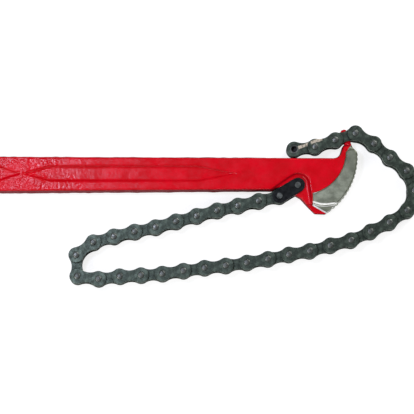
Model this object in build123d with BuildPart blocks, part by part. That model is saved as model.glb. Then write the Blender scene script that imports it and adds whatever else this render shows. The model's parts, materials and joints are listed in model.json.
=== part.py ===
"""Chain oil filter wrench: a forged handle with a toothed jaw, and a roller chain hooked over its horn.

Millimetres and degrees. The origin is the centre of the hanging hole, on the parting plane of the forging.
+X runs along the shank towards the jaw, +Z points out of the face that is seen from above.
"""

import os
from math import atan2, cos, degrees, radians, sin

from build123d import *

# Chain
PITCH = 12.7
PIN_RADIUS = 1.79
ROLLER_RADIUS = 3.88
INNER_WIDTH = 6.0
PLATE_THICKNESS = 1.25
PLATE_END_RADIUS = 4.65
PLATE_WAIST = 3.05
CHAIN_WIDTH = 12.7
RUNNING_CLEARANCE = 0.05
SIDE_CLEARANCE = 0.12

# The way that each link points, from the pivot round the loop to the free end
HEADINGS = (
    211, 193, 193, 193, 195, 195, 196, 192, 193, 196, 217, 273,
    353, 7, 3, 4, 8, 8, 6, 8, 10, 12, 10, 15,
    14, 24, 26, 34, 69, 112, 141, 139, 150, 199, 198, 187,
)  # fmt: skip
HOOKED_LINK = 33

# Facets of the round stock in the repeated links
ROUND_SIDES = 10
END_FACETS = 6
WAIST_FACETS = 2

# First link, which straddles the head
ANCHOR_END_RADIUS = 4.35
ANCHOR_FACETS = 20
ANCHOR_SWING = 70

# Forging
HANDLE_THICKNESS = 12.7
HOLE_TO_PIVOT = 188.5
PIVOT_DROP = 6.8
PIVOT_TO_THROAT = 24.6
SHANK_END_TO_PIVOT = 6.9
HOLE_RADIUS = 4.0
DRAFT_HEIGHT = 5.4
DRAFT_INSET = 0.7
EDGE_BREAK = 0.6
SHANK_TOP = 10.7
SHANK_TOP_AT_HEAD = 9.8
SHANK_BOTTOM = 11.3
SHANK_BOTTOM_AT_HEAD = 10.1

# Underside of the head, from the pivot
UNDERSIDE = ((1.5, -8.1), (5.7, -12.8), (10.0, -17.0), (16.3, -17.3))
HORN_ROOT_LEFT = Vector(2.2, 7.7)
HORN_ROOT_RIGHT = Vector(7.6, 7.3)
CORNER_RADIUS = 1.5
THROAT_RADIUS = 4.0

# Recess in each face of the shank
PANEL_START = 24.2
PANEL_END = 152.9
PANEL_HALF_HEIGHT = 4.7
PANEL_LEAD_IN = 16.0
PANEL_RUN_OUT = 24.0
PANEL_DEPTH = 1.2
PANEL_DRAFT = 30
EYE_RADIUS = 7.2
EYE_DEPTH = 1.1
EYE_TO_PANEL = 2.2
EYE_POINT_RADIUS = 0.7

# Head
WEB_THICKNESS = 8.5
POCKET_RADIUS = 6.2
POCKET_DRAFT = 30
POCKET_MARGIN = 1.05
NOTCH_CLEARANCE = 0.5
HORN_THICKNESS = 5.4
HORN_WIDTH = 3.9
HORN_REACH = 4.6
HORN_DEPTH = 9.5
HORN_FLARE = 2.4
HORN_ROUNDING = 0.4

# Jaw
JAW_CENTRE_FROM_PIVOT = Vector(-3.8, 17.2)
JAW_RADIUS = 39.9
JAW_START = 4.0
JAW_SWEEP = 62.0
TOOTH_COUNT = 15
TOOTH_SPACING = 4.0
TOOTH_DEPTH = 0.9
GROUND_DEPTH = 0.7
GROUND_RADIUS = 26.2
GROUND_CENTRE_FROM_PIVOT = Vector(2.55, 20.45)
GROUND_START = 8.6
GROUND_RISE = 4.0
OVERCUT = 1.0

# Profile of the nose, from the edge of the face down: (Y from the pivot, height over the parting plane)
NOSE_PROFILE = ((-9.8, 6.2), (-11.8, 4.6), (-11.8, 3.2), (-18.2, 1.8))


def pin_centres():
    """Where the chain's pins stand, from the pivot to the bush at the free end."""
    centres = [Vector(HOLE_TO_PIVOT, -PIVOT_DROP)]
    for heading in HEADINGS:
        centres.append(centres[-1] + Vector(PITCH, 0).rotate(Axis.Z, heading))
    return centres


PINS = pin_centres()
PIVOT = PINS[0]
HOOK = (PINS[HOOKED_LINK] + PINS[HOOKED_LINK + 1]) / 2
JAW_CENTRE = PIVOT + JAW_CENTRE_FROM_PIVOT
INNER_FACE = INNER_WIDTH / 2
INNER_OUTSIDE = INNER_FACE + PLATE_THICKNESS
OUTER_FACE = INNER_OUTSIDE + SIDE_CLEARANCE


def link_plane(number, height=0):
    """A plane at the start of a link, with its X along the link."""
    along = PINS[number + 1] - PINS[number]
    return Plane(origin=PINS[number], x_dir=along, z_dir=(0, 0, 1)).offset(height)


def waisted_outline():
    """The outline of a link plate: two round ends and a waist, in flat facets."""
    half = PITCH / 2
    hollow = (half**2 + PLATE_WAIST**2 - PLATE_END_RADIUS**2) / (2 * (PLATE_END_RADIUS - PLATE_WAIST))
    tangent = degrees(atan2(PLATE_WAIST + hollow, half))
    corners = []
    for centre, start in ((PITCH, tangent - 180), (0, tangent)):
        for step in range(END_FACETS + 1):
            angle = radians(start + (360 - 2 * tangent) * step / END_FACETS)
            corners.append((centre + PLATE_END_RADIUS * cos(angle), PLATE_END_RADIUS * sin(angle)))
        side = 1 if centre else -1
        for step in range(1, WAIST_FACETS):
            angle = radians((90 - tangent) * (2 * step / WAIST_FACETS - 1))
            x = half - side * hollow * sin(angle)
            corners.append((x, side * (PLATE_WAIST + hollow - hollow * cos(angle))))
    return corners


def plates(number, inside):
    """Both plates of a link, standing outwards from the half width inside."""
    for outwards in (1, -1):
        with BuildSketch(link_plane(number, outwards * inside)) as outline:
            with BuildLine():
                Polyline(*waisted_outline(), close=True)
            make_face()
        extrude(outline.sketch, amount=outwards * PLATE_THICKNESS)


def round_bars(number, radius, length, mode=Mode.ADD, across_flats=False):
    """A bar on each pin centre of a link, through its whole width."""
    with BuildSketch(link_plane(number, -length / 2)) as section:
        with Locations((0, 0), (PITCH, 0)):
            RegularPolygon(radius, ROUND_SIDES, major_radius=not across_flats)
    extrude(section.sketch, amount=length, mode=mode)


def outer_link(number):
    """Two plates with a pin riveted in at each end."""
    with BuildPart() as link:
        plates(number, OUTER_FACE)
        round_bars(number, PIN_RADIUS, CHAIN_WIDTH)
    return link.part


def inner_link(number):
    """Two plates on two bushes, with the roller's outside over each bush."""
    with BuildPart() as link:
        plates(number, INNER_FACE)
        round_bars(number, ROLLER_RADIUS, INNER_WIDTH)
        bore = PIN_RADIUS + RUNNING_CLEARANCE
        round_bars(number, bore, CHAIN_WIDTH, Mode.SUBTRACT, across_flats=True)
    return link.part


def forging_outline():
    """The forging on its parting plane, without the horn: shank, underside and the arc of the jaw."""
    throat = PIVOT + Vector(PIVOT_TO_THROAT, SHANK_TOP_AT_HEAD + PIVOT_DROP)
    with BuildSketch() as outline:
        with BuildLine():
            jaw = CenterArc(JAW_CENTRE, JAW_RADIUS, JAW_START, -JAW_SWEEP)
            Polyline(
                jaw @ 0,
                throat + HORN_ROOT_RIGHT,
                throat + HORN_ROOT_LEFT,
                throat,
                (0, SHANK_TOP),
            )
            ThreePointArc(
                (0, SHANK_TOP),
                (-(SHANK_TOP + SHANK_BOTTOM) / 2, (SHANK_TOP - SHANK_BOTTOM) / 2),
                (0, -SHANK_BOTTOM),
            )
            Polyline(
                (0, -SHANK_BOTTOM),
                (PIVOT.X - SHANK_END_TO_PIVOT, -SHANK_BOTTOM_AT_HEAD),
                *[PIVOT + Vector(*point) for point in UNDERSIDE],
                jaw @ 1,
            )
        make_face()
        fillet(outline.vertices().sort_by_distance(throat)[0], THROAT_RADIUS)
        blunt = [throat + HORN_ROOT_RIGHT, throat + HORN_ROOT_LEFT, PIVOT + Vector(*UNDERSIDE[-1])]
        for corner in blunt:
            fillet(outline.vertices().sort_by_distance(corner)[0], CORNER_RADIUS)
    return outline.sketch


def panel_outline():
    """The long recess in the shank, pointed at both ends."""
    middle = (PANEL_START + PANEL_END) / 2
    with BuildSketch() as outline:
        with BuildLine():
            Polyline(
                (PANEL_START, 0),
                (PANEL_START + PANEL_LEAD_IN, PANEL_HALF_HEIGHT),
                (PANEL_END - PANEL_RUN_OUT, PANEL_HALF_HEIGHT),
                (PANEL_END, 0),
                (PANEL_END - PANEL_RUN_OUT, -PANEL_HALF_HEIGHT),
                (PANEL_START + PANEL_LEAD_IN, -PANEL_HALF_HEIGHT),
                close=True,
            )
        make_face()
        shoulders = outline.vertices().filter_by(lambda corner: abs(corner.Y) > PANEL_HALF_HEIGHT / 2)
        fillet(shoulders, 2 * PANEL_HALF_HEIGHT)
    return outline.sketch


def eye_outline():
    """The recess round the hanging hole, drawn out to a point towards the panel."""
    with BuildSketch() as outline:
        Circle(EYE_RADIUS)
        with Locations((PANEL_START - EYE_TO_PANEL, 0)):
            Circle(EYE_POINT_RADIUS)
        make_hull()
    return outline.sketch


def pocket_outline():
    """The room that the first link swings in, from its place at rest down past the underside."""
    reach = PITCH * Vector(1, 0)
    with BuildSketch() as outline:
        with Locations(PIVOT):
            Circle(POCKET_RADIUS)
        for swing in (0, ANCHOR_SWING):
            with Locations(PIVOT + reach.rotate(Axis.Z, HEADINGS[0] + swing)):
                Circle(ANCHOR_END_RADIUS + POCKET_MARGIN)
        make_hull()
    return outline.sketch


def ground_outline():
    """The crescent on each side of the jaw that is ground to bare steel."""
    with BuildSketch() as outline:
        with Locations(JAW_CENTRE):
            Circle(JAW_RADIUS + OVERCUT)
        with Locations(JAW_CENTRE + Vector(0, JAW_RADIUS)):
            Rectangle(3 * JAW_RADIUS, 2 * (JAW_RADIUS - GROUND_RISE), mode=Mode.SUBTRACT)
        with Locations(PIVOT + Vector(GROUND_START, 0)):
            Rectangle(3 * JAW_RADIUS, 4 * JAW_RADIUS, align=(Align.MAX, Align.CENTER), mode=Mode.SUBTRACT)
        with Locations(PIVOT + GROUND_CENTRE_FROM_PIVOT):
            Circle(GROUND_RADIUS, mode=Mode.SUBTRACT)
    return outline.sketch


def horn_outline():
    """The horn, which stands across the window of the hooked link and leans with it."""
    along = (PINS[HOOKED_LINK + 1] - PINS[HOOKED_LINK]).normalized() * HORN_WIDTH / 2
    up = along.rotate(Axis.Z, -90).normalized()
    tip = HOOK + up * HORN_REACH
    waist = HOOK - up * HORN_REACH
    root = HOOK - up * HORN_DEPTH
    flare = along.normalized() * HORN_FLARE
    with BuildSketch() as outline:
        with BuildLine():
            Polyline(
                tip + along,
                waist + along,
                root + along + flare,
                root - along,
                waist - along,
                tip - along,
                close=True,
            )
        make_face()
        fillet(outline.vertices().sort_by_distance(tip)[0:2], HORN_WIDTH * HORN_ROUNDING)
    return outline.sketch


def nose_outline():
    """What is cut away above the stepped nose, seen along the shank."""
    above = HANDLE_THICKNESS
    with BuildSketch(Plane.YZ) as outline:
        with BuildLine():
            Polyline(
                (NOSE_PROFILE[0][0] - PIVOT_DROP, above),
                *[(y - PIVOT_DROP, z) for y, z in NOSE_PROFILE],
                (NOSE_PROFILE[-1][0] - PIVOT_DROP, above),
                close=True,
            )
        make_face()
    return outline.sketch


with BuildPart() as handle_forging:
    # Half of the forging, from the parting plane up
    top = HANDLE_THICKNESS / 2
    extrude(forging_outline(), amount=top)
    face = handle_forging.faces().sort_by(Axis.Z)[-1]
    chamfer(face.edges(), length=DRAFT_INSET, length2=DRAFT_HEIGHT, reference=face)
    chamfer(handle_forging.faces().sort_by(Axis.Z)[-1].edges(), EDGE_BREAK)

    # Recesses of the shank, pocket of the first link and the ground side of the jaw
    for recess, depth in ((panel_outline(), PANEL_DEPTH), (eye_outline(), EYE_DEPTH)):
        extrude(recess.moved(Location((0, 0, top))), amount=-depth, taper=PANEL_DRAFT, mode=Mode.SUBTRACT)
    pocket = pocket_outline().moved(Location((0, 0, WEB_THICKNESS / 2)))
    extrude(pocket, amount=top - WEB_THICKNESS / 2, taper=-POCKET_DRAFT, mode=Mode.SUBTRACT)
    ground = ground_outline().moved(Location((0, 0, top - GROUND_DEPTH)))
    extrude(ground, amount=top, mode=Mode.SUBTRACT)
    extrude(nose_outline().moved(Location((PIVOT.X, 0, 0))), amount=2 * JAW_RADIUS, mode=Mode.SUBTRACT)
    extrude(horn_outline(), amount=HORN_THICKNESS / 2)
    mirror(about=Plane.XY)

    # Teeth across the jaw
    with BuildSketch(Plane.XY.offset(-top)) as grooves:
        with Locations(JAW_CENTRE):
            with PolarLocations(
                JAW_RADIUS - TOOTH_DEPTH + TOOTH_SPACING / 2,
                TOOTH_COUNT,
                JAW_START,
                -TOOTH_SPACING * (TOOTH_COUNT - 1),
                endpoint=True,
            ):
                RegularPolygon(TOOTH_SPACING / 2, 4)
    extrude(amount=HANDLE_THICKNESS, mode=Mode.SUBTRACT)

    # Pivot bore, notch round the first roller and the hanging hole
    with BuildSketch(Plane.XY.offset(-top)) as holes:
        with Locations(PIVOT):
            Circle(PIN_RADIUS + RUNNING_CLEARANCE)
        with Locations(PINS[1]):
            Circle(PLATE_END_RADIUS + NOTCH_CLEARANCE)
        Circle(HOLE_RADIUS)
    extrude(amount=HANDLE_THICKNESS, mode=Mode.SUBTRACT)


def anchor_plate(height):
    """One oblong side plate of the first link, on the pivot pin and the first chain pin."""
    with BuildPart() as plate:
        with BuildSketch(link_plane(0, height)) as outline:
            with Locations((0, 0), (PITCH, 0)):
                RegularPolygon(ANCHOR_END_RADIUS, ANCHOR_FACETS)
            make_hull()
        extrude(outline.sketch, amount=PLATE_THICKNESS)
        round_bars(0, PIN_RADIUS, CHAIN_WIDTH, Mode.SUBTRACT)
    return plate.part


def anchor_pin(distance):
    """A pin of the first link, pressed into both plates and standing a little proud."""
    with BuildPart() as pin:
        with BuildSketch(link_plane(0, -CHAIN_WIDTH / 2)) as section:
            with Locations((distance, 0)):
                RegularPolygon(PIN_RADIUS, ROUND_SIDES)
        extrude(section.sketch, amount=CHAIN_WIDTH)
    return pin.part


nodes = {
    "handle_forging": handle_forging.part,
    "anchor_near_plate": anchor_plate(OUTER_FACE),
    "anchor_far_plate": anchor_plate(-OUTER_FACE - PLATE_THICKNESS),
    "anchor_pivot_pin": anchor_pin(0),
    "anchor_chain_pin": anchor_pin(PITCH),
}
for number in range(1, len(HEADINGS)):
    if number % 2:
        nodes[f"inner_link_{number:02d}"] = inner_link(number)
    else:
        nodes[f"outer_link_{number:02d}"] = outer_link(number)

os.makedirs("parts", exist_ok=True)
for name, node in nodes.items():
    node.label = name
    export_step(node, f"parts/{name}.step")
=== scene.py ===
"""Looks of the chain oil filter wrench: a red painted forging with a ground jaw, and a dark roller chain.

Metres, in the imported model's own frame: the hanging hole is at the origin and the shank runs along X.
Each chain link of that model is replaced by a finer one on the same two pins.
"""

import json
from math import atan2, cos, pi, radians, sin

import bmesh
import bpy
import numpy as np
from mathutils import Matrix, Vector, noise


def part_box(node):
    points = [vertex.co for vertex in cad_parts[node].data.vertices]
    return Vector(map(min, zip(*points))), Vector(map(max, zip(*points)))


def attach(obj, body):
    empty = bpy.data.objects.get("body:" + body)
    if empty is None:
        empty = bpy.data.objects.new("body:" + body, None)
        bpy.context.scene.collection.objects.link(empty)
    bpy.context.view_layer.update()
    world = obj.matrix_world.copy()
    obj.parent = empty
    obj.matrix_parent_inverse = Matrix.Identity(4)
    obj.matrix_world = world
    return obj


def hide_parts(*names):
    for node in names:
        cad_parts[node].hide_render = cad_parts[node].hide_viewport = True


MM = 0.001
ROUND_STEPS = 40
ROUND_ANGLES = [2 * pi * step / ROUND_STEPS for step in range(ROUND_STEPS)]
SHARP_EDGE = radians(35)
WELD_DISTANCE = 0.0001 * MM

# Chain: the black first link on the head has number 0
PITCH = 12.7 * MM
LINK_COUNT = 36
LAST_LINK = LINK_COUNT - 1
PIN_RADIUS = 1.79 * MM
PIN_END = 6.35 * MM
RIVET_SPREAD = 0.14 * MM
RIVET_HEIGHT = 0.68 * MM
RIVET_FLARE = 0.1 * MM
DOME_HEIGHT = 0.45 * MM
DOME_STEPS = 6
BORE_CLEARANCE = 0.05 * MM
BUSH_RADIUS = 2.55 * MM
BUSH_PROUD = 0.04 * MM
ROLLER_RADIUS = 3.88 * MM
ROLLER_HALF_LENGTH = 2.94 * MM
ROLLER_EDGE = 0.25 * MM
# Half depth of the dark disc of painted shade in the tail's bore
BORE_SHADE_HALF_DEPTH = 0.2 * MM
PLATE_THICKNESS = 1.25 * MM
PLATE_END_RADIUS = 4.65 * MM
PLATE_WAIST = 3.05 * MM
PLATE_EDGE = 0.22 * MM
PLATE_EDGE_STEPS = 2
END_STEPS = 20
WAIST_STEPS = 8
INNER_PLATE_HEIGHT = 3.625 * MM
OUTER_PLATE_HEIGHT = 4.995 * MM
ANCHOR_EDGE = 0.25 * MM
ANCHOR_EDGE_STEPS = 3
ANCHOR_EDGE_ANGLE = radians(50)

# Forging: places in the plane of the chain
HANGING_HOLE = (0.0, 0.0)
PIVOT = (188.5 * MM, -6.8 * MM)
JAW_CENTRE = (184.7 * MM, 10.4 * MM)
JAW_RADIUS = 39.9 * MM
HORN_SHOULDER = (215.4 * MM, 16.6 * MM)
NOSE_LINE = -17.2 * MM
NOSE_ARC_CENTRE = (204.6 * MM, -0.4 * MM)
NOSE_ARC_RADIUS = 17.2 * MM

# Ground crescent of the jaw, and the line on the nose where the enamel ends
GROUND_CENTRE = (191.05 * MM, 13.65 * MM)
GROUND_RADIUS = 26.2 * MM
GROUND_LEFT = 197.4 * MM
GROUND_TOP = 18.6 * MM
NOSE_EDGE = (197.5 * MM, -19.2 * MM)
NOSE_EDGE_SLOPE = 0.56
HORN_FOOT = 13.0 * MM
HORN_SLANT = 0.76

# Borders in the materials: each pair is where a soft border starts and where it ends
SIDE_FACING = (0.35, 0.75)
COARSE_SKIN = (25 * MM, 80 * MM)
ENAMEL_BORDER = (-0.15 * MM, 0.2 * MM)
# Where the ground steel grows darker towards the horn
DARKENING_RISE = (-12 * MM, 16 * MM)
# Where the painted highlights on the nose's bevels and along the enamel's edge lie
BEVEL_TOP = (-10 * MM, -12 * MM)
BEVEL_FACING_DOWN = (-0.25, -0.5)
BEVEL_FACING_OUT = (0.45, 0.65)
HIGHLIGHT_LINE_TOP = (-17.5 * MM, -18.5 * MM)
HIGHLIGHT_LINE_MIDDLE = 0.5 * MM
HIGHLIGHT_LINE_HALF_WIDTH = (0.3 * MM, 0.7 * MM)
# Width and ends of the painted highlight streak on the last two links
STREAK_HALF_WIDTH = (0.6 * MM, 1.2 * MM)
STREAK_END = 1.0 * MM

# Spans of noise, which runs from 0 to 1: most of it, and the part where each mark shows
MOST = (0.3, 0.7)
RED_TONE = (0.3, 0.75)
CHIP = (0.715, 0.745)
PATCH = (0.35, 0.7)
STAIN = (0.52, 0.72)
# Gaps in the painted highlight streak
STREAK_GAP = (0.3, 0.5)

# Softening of the forging: pairs are soft borders here too
VOXEL = 0.3 * MM
RELAXATION = 0.5
SKIN_PASSES = 3
RECESS_PASSES = 9
RECESS_HEIGHT = (4.0 * MM, 4.6 * MM)
RECESS_HOLE = (5.2 * MM, 6.2 * MM)
RECESS_SIDE = (6.4 * MM, 7.4 * MM)
RECESS_END = (156 * MM, 160 * MM)
POCKET_PASSES = 22
POCKET_BORE = (2.6 * MM, 3.4 * MM)
POCKET_RIM = (15 * MM, 18 * MM)
POCKET_END = (195 * MM, 196.8 * MM)
POCKET_HEIGHT = (3.6 * MM, 4.4 * MM)
FOOT_PASSES = 60
FOOT_RIM = (2 * MM, 4.5 * MM)
NOSE_DEPTH = (1.2 * MM, 3.5 * MM)
NOSE_START = (196.6 * MM, 198 * MM)
NOSE_BAND = (2 * MM, 6 * MM)
NOSE_HEIGHT = (1.0 * MM, 2.0 * MM)

# Trimmed flash round the shank, and the waviness of the whole skin
FLASH_FACING = (0.2, 0.5)
FLASH_HALF_WIDTH = (0.3 * MM, 0.9 * MM)
FLASH_END = (180 * MM, 190 * MM)
FLASH_HOLE = (6 * MM, 7 * MM)
FLASH_PROUD = 0.16 * MM
FLASH_UNEVENNESS = 0.3 * MM
FLASH_LUMPS = 4 * MM
WAVE_DEPTH = 0.06 * MM
WAVE_LUMPS = 11 * MM

# Colours: pairs are the dark and the pale tone of a mottled surface
RED_TONES = ((0.5, 0.0004, 0.005), (0.61, 0.001, 0.01))
# Painted shade on the enamel's side faces
SHADED_SIDE_RED = (0.2, 0.0008, 0.006)
CHIPPED_RED = (0.16, 0.02, 0.02)
GROUND_TONES = ((0.165, 0.18, 0.13), (0.32, 0.345, 0.26))
# The tone the ground steel darkens to towards the horn
GROUND_DARKER_TONE = (0.1, 0.1, 0.07)
# Painted highlight on the nose's bevels and along the enamel's edge
HIGHLIGHT_STEEL = (0.92, 0.93, 0.9)
# Painted highlight of the streak on the last two links' plates
STREAK_HIGHLIGHT_STEEL = (0.55, 0.48, 0.36)
PLATE_TONES = ((0.026, 0.036, 0.027), (0.08, 0.106, 0.08))
PIN_TONES = ((0.05, 0.056, 0.05), (0.15, 0.16, 0.145))
ROLLER_TONES = ((0.05, 0.058, 0.05), (0.13, 0.14, 0.125))
BLACK_TONES = ((0.006, 0.007, 0.007), (0.018, 0.02, 0.02))
# Painted shade: dark tones of the disc in the tail's bore
BORE_SHADE_TONES = ((0.006, 0.006, 0.005), (0.02, 0.018, 0.014))
STAIN_DARKNESS = 0.35
WHITE = (1, 1, 1)
PAPER = (0.32, 0.32, 0.32)
PAPER_GLOW = 0.8

# Camera
VIEW_CENTRE = Vector((134.4 * MM, -19.46 * MM, 0))
VIEW_WIDTH = 247.3 * MM
VIEW_TILT = radians(6)
VIEW_DISTANCE = 1.8
VIEW_LIMIT = 10
SENSOR_WIDTH = 36

# Floor and light
FLOOR_HEIGHT = -6.36 * MM
FLOOR_REACH = 4
WORLD_STRENGTH = 0.17
GLARE_TINT = (0.72, 0.75, 1.0)


class Nodes:
    """A short way to write a node material."""

    def __init__(self, name):
        self.material = bpy.data.materials.new(name)
        self.material.use_nodes = True
        self.tree = self.material.node_tree
        self.tree.nodes.clear()
        self.output = self.add("ShaderNodeOutputMaterial")
        place = self.add("ShaderNodeTexCoord")
        self.coordinates = place.outputs["Object"]
        self.normal = place.outputs["Normal"]

    def add(self, kind, **settings):
        """A new node with some of its settings changed."""
        node = self.tree.nodes.new(kind)
        for key, value in settings.items():
            setattr(node, key, value)
        return node

    def feed(self, socket, value):
        """Give a socket what another node puts out, or else a number or a colour."""
        if isinstance(value, bpy.types.NodeSocket):
            self.tree.links.new(value, socket)
        elif isinstance(value, tuple):
            socket.default_value = (*value, 1)
        else:
            socket.default_value = value

    def maths(self, operation, a, b=0.0):
        """One step of arithmetic."""
        node = self.add("ShaderNodeMath", operation=operation)
        self.feed(node.inputs[0], a)
        self.feed(node.inputs[1], b)
        return node.outputs[0]

    def split(self, vector):
        """The x, y and z of a vector."""
        node = self.add("ShaderNodeSeparateXYZ")
        self.feed(node.inputs[0], vector)
        return tuple(node.outputs)

    def noise(self, size, detail=4.0, roughness=0.55, stretch=(1, 1, 1)):
        """Noise whose lumps are about size metres across."""
        mapping = self.add("ShaderNodeMapping")
        self.feed(mapping.inputs["Vector"], self.coordinates)
        mapping.inputs["Scale"].default_value = [1 / (size * share) for share in stretch]
        node = self.add("ShaderNodeTexNoise")
        self.feed(node.inputs["Vector"], mapping.outputs[0])
        for name, value in (("Scale", 1), ("Detail", detail), ("Roughness", roughness)):
            node.inputs[name].default_value = value
        return node.outputs["Fac"]

    def ragged(self, depth, size, detail, roughness=0.55):
        """Noise about zero that spans depth, to fray an edge with."""
        centred = self.maths("SUBTRACT", self.noise(size, detail, roughness), 0.5)
        return self.maths("MULTIPLY", centred, depth)

    def ramp(self, factor, low, high, start=0.0, end=1.0):
        """From start, where factor is low, smoothly to end, where it is high."""
        node = self.add("ShaderNodeMapRange", interpolation_type="SMOOTHSTEP")
        self.feed(node.inputs["Value"], factor)
        for name, value in (("From Min", low), ("From Max", high), ("To Min", start), ("To Max", end)):
            node.inputs[name].default_value = value
        return node.outputs["Result"]

    def mix(self, factor, a, b):
        """Colour a where factor is 0 and b where it is 1."""
        node = self.add("ShaderNodeMix", data_type="RGBA")
        for name, value in (("Factor", factor), ("A", a), ("B", b)):
            self.feed(node.inputs[name], value)
        return node.outputs["Result"]

    def bump(self, height, distance, strength, normal=None):
        """A normal that is tilted by height, on top of another one if there is one."""
        node = self.add("ShaderNodeBump")
        self.feed(node.inputs["Height"], height)
        node.inputs["Distance"].default_value = distance
        node.inputs["Strength"].default_value = strength
        if normal is not None:
            self.feed(node.inputs["Normal"], normal)
        return node.outputs["Normal"]

    def surface(self, colour, roughness, normal=None, **sockets):
        """The main shader. Other sockets are named with _ for a space."""
        shader = self.add("ShaderNodeBsdfPrincipled")
        self.feed(shader.inputs["Base Color"], colour)
        self.feed(shader.inputs["Roughness"], roughness)
        if normal is not None:
            self.feed(shader.inputs["Normal"], normal)
        for name, value in sockets.items():
            self.feed(shader.inputs[name.replace("_", " ")], value)
        return shader.outputs["BSDF"]

    def finish(self, shader):
        """The material, once its shader is on its surface."""
        self.feed(self.output.inputs["Surface"], shader)
        return self.material


def ground_area(nodes, x, y, above_edge):
    """1 where the jaw and nose are ground to bare steel, 0 where there is enamel."""
    # Distance outside the inner edge of the crescent, a little ragged
    dx = nodes.maths("SUBTRACT", x, GROUND_CENTRE[0])
    dy = nodes.maths("SUBTRACT", y, GROUND_CENTRE[1])
    square = nodes.maths("ADD", nodes.maths("MULTIPLY", dx, dx), nodes.maths("MULTIPLY", dy, dy))
    inside = nodes.maths("SUBTRACT", nodes.maths("SQRT", square), GROUND_RADIUS)
    inside = nodes.maths("ADD", inside, nodes.ragged(depth=1.2 * MM, size=2.2 * MM, detail=5))

    # The enamel runs up the horn, so the crescent narrows to a point beside its foot
    rise = nodes.maths("MAXIMUM", nodes.maths("SUBTRACT", y, HORN_FOOT), 0)
    inside = nodes.maths("SUBTRACT", inside, nodes.maths("MULTIPLY", rise, HORN_SLANT))
    right_of_limit = nodes.maths("SUBTRACT", x, GROUND_LEFT)
    below_limit = nodes.maths("SUBTRACT", GROUND_TOP, y)
    for limit in (right_of_limit, below_limit, above_edge):
        inside = nodes.maths("MINIMUM", inside, limit)
    return nodes.ramp(inside, *ENAMEL_BORDER)


def enamel(nodes, x, upright):
    """Red enamel: glossy on the faces, duller on the sides with painted shade there, rough near the hanging
    hole.
    """
    side = nodes.ramp(upright, *SIDE_FACING, start=1, end=0)
    red = nodes.mix(nodes.ramp(nodes.noise(size=9 * MM, detail=3), *RED_TONE), *RED_TONES)
    # Painted shade: faces that turn away from up get a darker red
    red = nodes.mix(side, red, SHADED_SIDE_RED)
    chips = nodes.ramp(nodes.noise(size=1.6 * MM, detail=6, roughness=0.7), *CHIP)

    # Three sizes of unevenness, the coarsest one in soft waves all over
    grain = nodes.noise(size=0.9 * MM)
    grain = nodes.maths("MULTIPLY", grain, nodes.ramp(x, *COARSE_SKIN, start=0.25, end=1))
    scale = nodes.noise(size=2.0 * MM, detail=2)
    scale = nodes.maths("MULTIPLY", scale, nodes.ramp(x, *COARSE_SKIN, start=1, end=0.08))
    skin = nodes.bump(grain, distance=0.05 * MM, strength=0.6)
    skin = nodes.bump(scale, distance=0.5 * MM, strength=0.8, normal=skin)
    skin = nodes.bump(nodes.noise(size=5 * MM, detail=3), distance=0.2 * MM, strength=0.4, normal=skin)

    dullness = nodes.ramp(nodes.noise(size=4 * MM), *MOST, start=0.17, end=0.27)
    return nodes.surface(
        nodes.mix(chips, red, CHIPPED_RED),
        nodes.maths("ADD", dullness, nodes.maths("MULTIPLY", side, 0.4)),
        normal=skin,
        Specular_IOR_Level=0.18,
    )


def ground_steel(nodes, y, facing_y, upright, above_edge):
    """Steel with grinding marks across the crescent, with painted highlights on the bevels of the nose."""
    marks = nodes.noise(size=0.5 * MM, detail=3, roughness=0.6, stretch=(7, 0.6, 1))
    stain = nodes.noise(size=4.5 * MM, detail=5, roughness=0.6)
    colour = nodes.mix(nodes.ramp(stain, *MOST), *GROUND_TONES)
    # Darker towards the horn
    colour = nodes.mix(nodes.ramp(y, *DARKENING_RISE, end=0.45), colour, GROUND_DARKER_TONE)

    # A painted highlight on the bevel that slopes down towards the nose, and a painted highlight line along
    # the edge of the enamel there
    facing_down = nodes.ramp(facing_y, *BEVEL_FACING_DOWN)
    bevel = nodes.maths("MULTIPLY", facing_down, nodes.ramp(upright, *BEVEL_FACING_OUT))
    bevel = nodes.maths("MULTIPLY", bevel, nodes.ramp(y, *BEVEL_TOP))
    off_middle = nodes.maths("ABSOLUTE", nodes.maths("SUBTRACT", above_edge, HIGHLIGHT_LINE_MIDDLE))
    edge_highlight = nodes.ramp(off_middle, *HIGHLIGHT_LINE_HALF_WIDTH, start=1, end=0)
    edge_highlight = nodes.maths("MULTIPLY", edge_highlight, nodes.ramp(y, *HIGHLIGHT_LINE_TOP))
    return nodes.surface(
        nodes.mix(nodes.maths("MAXIMUM", bevel, edge_highlight), colour, HIGHLIGHT_STEEL),
        nodes.ramp(marks, *MOST, start=0.34, end=0.52),
        normal=nodes.bump(marks, distance=0.03 * MM, strength=0.5),
        Metallic=0.85,
    )


def forging_material():
    """Enamel over a forged skin, with the jaw's side faces and teeth ground to bare steel."""
    nodes = Nodes("red enamel and ground steel")
    x, y, _ = nodes.split(nodes.coordinates)
    _, facing_y, facing_z = nodes.split(nodes.normal)
    upright = nodes.maths("ABSOLUTE", facing_z)

    # Height above the slanting line on the nose, below which enamel is left
    drop = nodes.maths("MULTIPLY", nodes.maths("SUBTRACT", x, NOSE_EDGE[0]), NOSE_EDGE_SLOPE)
    above_edge = nodes.maths("ADD", nodes.maths("SUBTRACT", y, NOSE_EDGE[1]), drop)

    blend = nodes.add("ShaderNodeMixShader")
    nodes.feed(blend.inputs[0], ground_area(nodes, x, y, above_edge))
    nodes.feed(blend.inputs[1], enamel(nodes, x, upright))
    nodes.feed(blend.inputs[2], ground_steel(nodes, y, facing_y, upright, above_edge))
    return nodes.finish(blend.outputs[0])


def mottled(nodes, dark, pale):
    """Patches of two tones of steel."""
    patches = nodes.noise(size=3.2 * MM, detail=5, roughness=0.65)
    return nodes.mix(nodes.ramp(patches, *PATCH), dark, pale)


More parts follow.
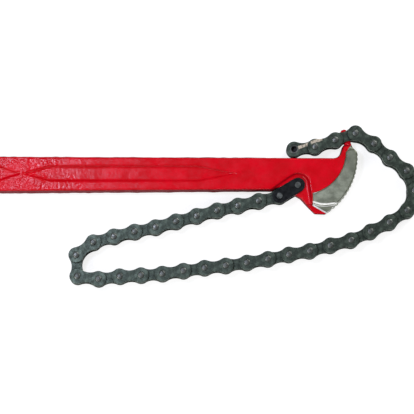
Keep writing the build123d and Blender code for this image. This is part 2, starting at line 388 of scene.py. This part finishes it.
def pitted(nodes):
    """The normal of finely pitted steel."""
    return nodes.bump(nodes.noise(size=0.45 * MM), distance=0.03 * MM, strength=0.5)


def steel_material(name, dark, pale, roughness, metallic=0.75, grime=0.5):
    """Oiled steel of the chain in patches of two tones, with grime and fine pitting."""
    nodes = Nodes(name)
    stains = nodes.noise(size=1.3 * MM, detail=5, roughness=0.7)
    stains = nodes.ramp(stains, *STAIN, end=grime)
    stained = tuple(STAIN_DARKNESS * part for part in dark)
    shader = nodes.surface(
        nodes.mix(stains, mottled(nodes, dark, pale), stained),
        nodes.ramp(nodes.noise(size=1.8 * MM), *MOST, start=roughness - 0.08, end=roughness + 0.1),
        normal=pitted(nodes),
        Metallic=metallic,
    )
    return nodes.finish(shader)


def highlight_streak_material(name, height, slope, start, end):
    """Plate steel with a painted highlight streak: a line through height at the far pin, from start to end.
    """
    nodes = Nodes(name)
    x, y, _ = nodes.split(nodes.coordinates)
    line = nodes.maths("ADD", y, nodes.maths("MULTIPLY", nodes.maths("SUBTRACT", PITCH, x), slope))
    off_line = nodes.maths("SUBTRACT", line, height)
    off_line = nodes.maths("ADD", off_line, nodes.ragged(2.0 * MM, size=1.6 * MM, detail=5, roughness=0.7))
    highlight_streak = nodes.ramp(nodes.maths("ABSOLUTE", off_line), *STREAK_HALF_WIDTH, start=1, end=0)
    for limit in (
        nodes.ramp(x, start, start + STREAK_END),
        nodes.ramp(x, end - STREAK_END, end, start=1, end=0),
        nodes.ramp(nodes.noise(size=0.8 * MM), *STREAK_GAP),
    ):
        highlight_streak = nodes.maths("MULTIPLY", highlight_streak, limit)
    shader = nodes.surface(
        nodes.mix(highlight_streak, mottled(nodes, *PLATE_TONES), STREAK_HIGHLIGHT_STEEL),
        roughness=0.4,
        normal=pitted(nodes),
        Metallic=0.75,
    )
    return nodes.finish(shader)


def floor_material():
    """White paper that keeps the tool's shadow."""
    nodes = Nodes("white paper")
    path = nodes.add("ShaderNodeLightPath")
    seen = nodes.maths("MAXIMUM", path.outputs["Is Camera Ray"], path.outputs["Is Glossy Ray"])
    glow = nodes.add("ShaderNodeEmission")
    nodes.feed(glow.inputs["Color"], WHITE)
    nodes.feed(glow.inputs["Strength"], nodes.maths("MULTIPLY", seen, PAPER_GLOW))
    total = nodes.add("ShaderNodeAddShader")
    nodes.feed(total.inputs[0], glow.outputs[0])
    nodes.feed(total.inputs[1], nodes.surface(PAPER, roughness=0.9))
    return nodes.finish(total.outputs[0])


def smooth(mesh):
    """Shade a mesh smooth except at its sharp edges."""
    mesh.shade_smooth()
    mesh.set_sharp_from_angle(angle=SHARP_EDGE)
    return mesh


def plate_outline():
    """The figure of eight of a link plate, in the link's own plane, from one pin to the other."""
    half = PITCH / 2
    hollow = (half**2 + PLATE_WAIST**2 - PLATE_END_RADIUS**2) / (2 * (PLATE_END_RADIUS - PLATE_WAIST))
    tangent = atan2(PLATE_WAIST + hollow, half)
    points = []
    for centre, start, side in ((PITCH, tangent - pi, 1), (0, tangent, -1)):
        for step in range(END_STEPS + 1):
            angle = start + (2 * pi - 2 * tangent) * step / END_STEPS
            points.append((centre + PLATE_END_RADIUS * cos(angle), PLATE_END_RADIUS * sin(angle)))
        for step in range(1, WAIST_STEPS):
            angle = (pi / 2 - tangent) * (2 * step / WAIST_STEPS - 1)
            half_width = PLATE_WAIST + hollow - hollow * cos(angle)
            points.append((half - side * hollow * sin(angle), side * half_width))
    return points


def circle_outline(centre, radius):
    """A plate's hole, centre along the line between its pins."""
    return [(centre + radius * cos(angle), radius * sin(angle)) for angle in ROUND_ANGLES]


def stamped_plate(hole_radius):
    """A plate with rounded edges and two holes, as a mesh about its own middle height."""
    curve = bpy.data.curves.new("plate", "CURVE")
    curve.dimensions = "2D"
    curve.fill_mode = "BOTH"
    curve.extrude = PLATE_THICKNESS / 2 - PLATE_EDGE
    curve.bevel_depth = PLATE_EDGE
    curve.bevel_resolution = PLATE_EDGE_STEPS
    curve.offset = -PLATE_EDGE
    for outline in (plate_outline(), circle_outline(0, hole_radius), circle_outline(PITCH, hole_radius)):
        spline = curve.splines.new("POLY")
        spline.points.add(len(outline) - 1)
        for point, (x, y) in zip(spline.points, outline):
            point.co = (x, y, 0, 1)
        spline.use_cyclic_u = True
    holder = bpy.data.objects.new("plate", curve)
    mesh = bpy.data.meshes.new_from_object(holder)
    bpy.data.objects.remove(holder)
    return mesh


def turned(profile):
    """A mesh turned about Z from (radius, height) points, closed where they return or meet the axis."""
    vertices = [
        (radius * cos(angle), radius * sin(angle), height)
        for angle in ROUND_ANGLES
        for radius, height in profile
    ]
    faces = []
    count = len(profile)
    for step in range(ROUND_STEPS):
        here, there = step * count, (step + 1) % ROUND_STEPS * count
        for k in range(count - 1):
            faces.append((here + k, there + k, there + k + 1, here + k + 1))
    mesh = bpy.data.meshes.new("turned")
    mesh.from_pydata(vertices, [], faces)
    seam = bmesh.new()
    seam.from_mesh(mesh)
    bmesh.ops.remove_doubles(seam, verts=seam.verts, dist=WELD_DISTANCE)
    seam.to_mesh(mesh)
    seam.free()
    return mesh


def riveted_pin():
    """A pin whose ends are spread a little over the plates and domed."""
    spread, shoulder = PIN_RADIUS + RIVET_SPREAD, PIN_END - RIVET_HEIGHT
    end = [(PIN_RADIUS, shoulder), (spread, shoulder + RIVET_FLARE)]
    for step in range(1, DOME_STEPS + 1):
        angle = step / DOME_STEPS * pi / 2
        end.append((spread * cos(angle), PIN_END - DOME_HEIGHT * (1 - sin(angle))))
    return turned([(radius, -height) for radius, height in reversed(end)] + end)


def bush():
    """A bush that stands through both inner plates, open at its bore."""
    end = INNER_PLATE_HEIGHT + PLATE_THICKNESS / 2 + BUSH_PROUD
    bore = PIN_RADIUS + BORE_CLEARANCE
    return turned([(bore, -end), (BUSH_RADIUS, -end), (BUSH_RADIUS, end), (bore, end), (bore, -end)])


def roller():
    """A roller round a bush, with bevelled rims."""
    rim, inset = ROLLER_RADIUS, ROLLER_RADIUS - ROLLER_EDGE
    bore, end = BUSH_RADIUS + BORE_CLEARANCE, ROLLER_HALF_LENGTH
    outside = [(inset, -end), (rim, -end + ROLLER_EDGE), (rim, end - ROLLER_EDGE), (inset, end)]
    return turned([(bore, -end), *outside, (bore, end), (bore, -end)])


def bore_shade_disc():
    """A dark disc of painted shade that closes the free end's bore, deep inside."""
    edge, rise = PIN_RADIUS + BORE_CLEARANCE, BORE_SHADE_HALF_DEPTH
    return turned([(0.0, -rise), (edge, -rise), (edge, rise), (0.0, rise)])


def joined(name, pieces, materials):
    """One mesh from (mesh, place, material number) pieces."""
    vertices, faces, slots = [], [], []
    for mesh, place, slot in pieces:
        start = len(vertices)
        vertices += [place @ vertex.co for vertex in mesh.vertices]
        faces += [[start + corner for corner in face.vertices] for face in mesh.polygons]
        slots += [slot] * len(mesh.polygons)
    whole = bpy.data.meshes.new(name)
    whole.from_pydata(vertices, [], faces)
    for material in materials:
        whole.materials.append(material)
    whole.polygons.foreach_set("material_index", slots)
    return smooth(whole)


def link_mesh(name, plate_height, plate_hole, turned_pieces, materials, far_end=()):
    """Both plates of a link, its round pieces at each end and what is only at the far one."""
    near, far = (Matrix.Translation((x, 0, 0)) for x in (0, PITCH))
    upper, lower = (Matrix.Translation((0, 0, height)) for height in (plate_height, -plate_height))
    plate = stamped_plate(plate_hole)
    pieces = [(plate, upper, 0), (plate, lower, 0)]
    for mesh, slot in turned_pieces:
        pieces += [(mesh, near, slot), (mesh, far, slot)]
    pieces += [(mesh, far, slot) for mesh, slot in far_end]
    return joined(name, pieces, materials)


def dress_chain(frame, meshes, special):
    """A finer link on each chain body, from its hinge towards the middle of its CAD node.

    Links of a kind share a mesh, but for the special ones, which are given by number.
    """
    starts = {joint["child"]: Vector(joint["pos_m"]) for joint in frame["joints"]}
    for number in range(1, LINK_COUNT):
        body = f"chain_{number:02d}"
        kind = "inner" if number % 2 else "outer"
        node = f"{kind}_link_{number:02d}"
        low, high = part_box(node)
        along = (low + high) / 2 - starts[body]
        turn = Matrix.Rotation(atan2(along.y, along.x), 4, "Z")
        link = bpy.data.objects.new(f"{kind}_link_detail_{number:02d}", special.get(number, meshes[kind]))
        bpy.context.scene.collection.objects.link(link)
        link.matrix_world = Matrix.Translation(starts[body]) @ turn
        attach(link, body)
        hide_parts(node)


def between(value, low, high):
    """0 below low and 1 above high, smooth between them."""
    share = np.clip((value - low) / (high - low), 0, 1)
    return share * share * (3 - 2 * share)


def distance(points, centre):
    """How far each point is from a place in the plane of the chain."""
    return np.hypot(points[:, 0] - centre[0], points[:, 1] - centre[1])


def lumps(points, size):
    """Noise at each point, from about -1 to 1, with lumps about size across."""
    return np.array([noise.noise(Vector(point) / size) for point in points])


def relax(points, edges, zone, passes):
    """Move every point towards the middle of its neighbours, as far as the zone says."""
    count = len(points)
    near = np.bincount(edges.ravel(), minlength=count)
    for _ in range(passes):
        for axis in range(3):
            value = points[:, axis].copy()
            total = np.bincount(edges[:, 0], value[edges[:, 1]], count)
            total += np.bincount(edges[:, 1], value[edges[:, 0]], count)
            points[:, axis] += RELAXATION * zone * (total / near - value)


def everywhere(points):
    """The whole forging."""
    return np.ones(len(points))


def in_recesses(points):
    """The recesses in both faces of the shank, clear of the hanging hole."""
    x, y, z = points.T
    face = between(abs(z), *RECESS_HEIGHT) * between(distance(points, HANGING_HOLE), *RECESS_HOLE)
    return face * (1 - between(abs(y), *RECESS_SIDE)) * (1 - between(x, *RECESS_END))


def in_pocket(points):
    """The pocket of the first link in both faces of the head, clear of the pivot's bore."""
    x, _, z = points.T
    far = distance(points, PIVOT)
    ring = between(far, *POCKET_BORE) * (1 - between(far, *POCKET_RIM))
    return ring * (1 - between(x, *POCKET_END)) * between(abs(z), *POCKET_HEIGHT)


def at_horn_foot(points):
    """The horn's foot, which grows out of the head without a shoulder."""
    return 1 - between(distance(points, HORN_SHOULDER), *FOOT_RIM)


def grind_nose(points):
    """Bend the straight steps of the nose to the arc that they are ground in."""
    x, y, z = points.T
    reach = np.clip(NOSE_ARC_RADIUS**2 - (x - NOSE_ARC_CENTRE[0]) ** 2, 0, None)
    arc = NOSE_ARC_CENTRE[1] - np.sqrt(reach) - NOSE_LINE
    share = between(JAW_RADIUS - distance(points, JAW_CENTRE), *NOSE_DEPTH) * between(x, *NOSE_START)
    share *= (1 - between(abs(y - NOSE_LINE), *NOSE_BAND)) * between(abs(z), *NOSE_HEIGHT)
    points[:, 1] += arc * share


def roughen(points, normals):
    """Trimmed flash along the parting line of the shank, and a little waviness everywhere."""
    x, _, z = points.T
    outward = 1 - between(abs(normals[:, 2]), *FLASH_FACING)
    flash = outward * (1 - between(abs(z), *FLASH_HALF_WIDTH)) * (1 - between(x, *FLASH_END))
    flash *= between(distance(points, HANGING_HOLE), *FLASH_HOLE)
    proud = (FLASH_PROUD + FLASH_UNEVENNESS * lumps(points, FLASH_LUMPS)) * flash
    points += normals * (proud + WAVE_DEPTH * lumps(points, WAVE_LUMPS))[:, None]


def forge(points, normals, edges):
    """Soften the fine mesh where the forging is soft, bend the nose's steps and roughen the skin."""
    for zone, passes in (
        (everywhere, SKIN_PASSES),
        (in_recesses, RECESS_PASSES),
        (in_pocket, POCKET_PASSES),
        (at_horn_foot, FOOT_PASSES),
    ):
        relax(points, edges, zone(points), passes)
    grind_nose(points)
    roughen(points, normals)


def rows(items, name, width, kind=float):
    """One property of a mesh's vertices or edges, a row of numbers for each."""
    values = np.empty(width * len(items), dtype=kind)
    items.foreach_get(name, values)
    return values.reshape(-1, width)


def dress_forging(node, material):
    """A fine, softened mesh in place of the CAD forging."""
    piece = bpy.data.objects.new("forged_handle", node.data.copy())
    bpy.context.scene.collection.objects.link(piece)
    remesh = piece.modifiers.new("skin", "REMESH")
    remesh.mode = "VOXEL"
    remesh.voxel_size = VOXEL
    evaluated = piece.evaluated_get(bpy.context.evaluated_depsgraph_get())
    mesh = bpy.data.meshes.new_from_object(evaluated)
    piece.modifiers.clear()
    piece.data = mesh
    points = rows(mesh.vertices, "co", 3)
    forge(points, rows(mesh.vertices, "normal", 3), rows(mesh.edges, "vertices", 2, int))
    mesh.vertices.foreach_set("co", points.ravel())
    mesh.shade_smooth()
    mesh.update()
    mesh.materials.clear()
    mesh.materials.append(material)
    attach(piece, "handle")
    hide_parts("handle_forging")


def dress_anchor(nodes, plate_material, pin_material):
    """Materials and rounded edges for the black first link."""
    for name, material in (
        ("anchor_near_plate", plate_material),
        ("anchor_far_plate", plate_material),
        ("anchor_pivot_pin", pin_material),
        ("anchor_chain_pin", pin_material),
    ):
        node = nodes[name]
        node.data.materials.clear()
        node.data.materials.append(material)
        rounding = node.modifiers.new("edges", "BEVEL")
        rounding.width = ANCHOR_EDGE
        rounding.segments = ANCHOR_EDGE_STEPS
        rounding.limit_method = "ANGLE"
        rounding.angle_limit = ANCHOR_EDGE_ANGLE
        smooth(node.data)


def add_floor():
    """The paper that the tool lies on."""
    mesh = bpy.data.meshes.new("floor")
    signs = ((-1, -1), (1, -1), (1, 1), (-1, 1))
    corners = [(x * FLOOR_REACH, y * FLOOR_REACH, FLOOR_HEIGHT) for x, y in signs]
    mesh.from_pydata(corners, [], [(0, 1, 2, 3)])
    mesh.materials.append(floor_material())
    floor = bpy.data.objects.new("floor", mesh)
    bpy.context.scene.collection.objects.link(floor)


def add_lamp(name, place, size, power, aim=VIEW_CENTRE):
    """A rectangular lamp that points at its aim."""
    lamp = bpy.data.lights.new(name, "AREA")
    lamp.shape = "RECTANGLE"
    lamp.size, lamp.size_y = size
    lamp.energy = power
    holder = bpy.data.objects.new(name, lamp)
    holder.location = place
    holder.rotation_euler = (aim - Vector(place)).to_track_quat("-Z", "Y").to_euler()
    bpy.context.scene.collection.objects.link(holder)
    return lamp


def add_light():
    """Soft light from all round, three large lamps, and a small cool one that shines in the shank's end."""
    world = bpy.data.worlds.new("studio")
    world.use_nodes = True
    background = world.node_tree.nodes["Background"]
    background.inputs["Color"].default_value = (*WHITE, 1)
    background.inputs["Strength"].default_value = WORLD_STRENGTH
    bpy.context.scene.world = world
    add_lamp("key", place=(0.6, 0.62, 0.62), size=(0.6, 0.6), power=6.5)
    add_lamp("fill", place=(-0.38, -0.42, 0.72), size=(0.5, 0.4), power=4.2)
    add_lamp("rim", place=(0.2, -0.95, 0.3), size=(0.8, 0.25), power=1.7)
    origin = Vector((0, 0, 0))
    glare = add_lamp("glare", place=(-0.085, 0.093, 0.8), size=(0.08, 0.11), power=2.4, aim=origin)
    glare.color = GLARE_TINT


def add_camera():
    """A long lens, almost straight down."""
    camera = bpy.data.cameras.new("camera")
    camera.sensor_width = SENSOR_WIDTH
    camera.lens = SENSOR_WIDTH * VIEW_DISTANCE / VIEW_WIDTH
    camera.clip_end = VIEW_LIMIT
    holder = bpy.data.objects.new("camera", camera)
    holder.location = VIEW_CENTRE + VIEW_DISTANCE * Vector((0, -sin(VIEW_TILT), cos(VIEW_TILT)))
    holder.rotation_euler = (VIEW_TILT, 0, 0)
    bpy.context.scene.collection.objects.link(holder)
    bpy.context.scene.camera = holder


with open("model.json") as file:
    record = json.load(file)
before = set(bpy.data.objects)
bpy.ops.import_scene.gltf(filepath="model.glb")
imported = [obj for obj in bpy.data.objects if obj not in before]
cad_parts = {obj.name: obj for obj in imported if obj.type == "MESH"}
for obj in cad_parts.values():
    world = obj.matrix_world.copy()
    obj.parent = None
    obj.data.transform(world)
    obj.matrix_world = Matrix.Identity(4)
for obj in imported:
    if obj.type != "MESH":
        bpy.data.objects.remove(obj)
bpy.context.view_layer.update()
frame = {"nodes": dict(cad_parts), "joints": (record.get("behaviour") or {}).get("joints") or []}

plate_steel = steel_material("chain plate steel", *PLATE_TONES, roughness=0.4)
pin_steel = steel_material("chain pin steel", *PIN_TONES, roughness=0.36, grime=0.35)
roller_steel = steel_material("chain roller steel", *ROLLER_TONES, roughness=0.32)
# Painted highlight streaks on the plates of the last two links
tail_highlight_steel = highlight_streak_material("tail steel with painted highlight", height=0.0, slope=0.23, start=-2 * MM, end=11.4 * MM)
highlight_plate_steel = highlight_streak_material("plate steel with painted highlight", height=-2.9 * MM, slope=0.0, start=7 * MM, end=15 * MM)
black_steel = steel_material("black oxide steel", *BLACK_TONES, roughness=0.34, metallic=0.85)
# Painted shade for the disc that closes the tail's bore
bore_shade = steel_material("painted shade in the bore", *BORE_SHADE_TONES, roughness=0.6, metallic=0.0)

pins = [(riveted_pin(), 1)]
barrel = [(bush(), 1), (roller(), 2)]
outer_form = (OUTER_PLATE_HEIGHT, PIN_RADIUS, pins)
inner_form = (INNER_PLATE_HEIGHT, BUSH_RADIUS, barrel)
outer_mesh = link_mesh("outer link", *outer_form, [plate_steel, pin_steel])
highlight_link_mesh = link_mesh("link with painted highlight", *outer_form, [highlight_plate_steel, pin_steel])
inner_mesh = link_mesh("inner link", *inner_form, [plate_steel, pin_steel, roller_steel])
tail_materials = [tail_highlight_steel, pin_steel, roller_steel, bore_shade]
# The tail's free end gets the disc of painted shade in its bore
tail_mesh = link_mesh("tail link", *inner_form, tail_materials, far_end=[(bore_shade_disc(), 3)])

dress_forging(frame["nodes"]["handle_forging"], forging_material())
dress_anchor(frame["nodes"], black_steel, pin_steel)
dress_chain(
    frame,
    {"outer": outer_mesh, "inner": inner_mesh},
    special={LAST_LINK - 1: highlight_link_mesh, LAST_LINK: tail_mesh},
)

add_floor()
add_light()
add_camera()
bpy.context.scene.view_settings.view_transform = "Standard"
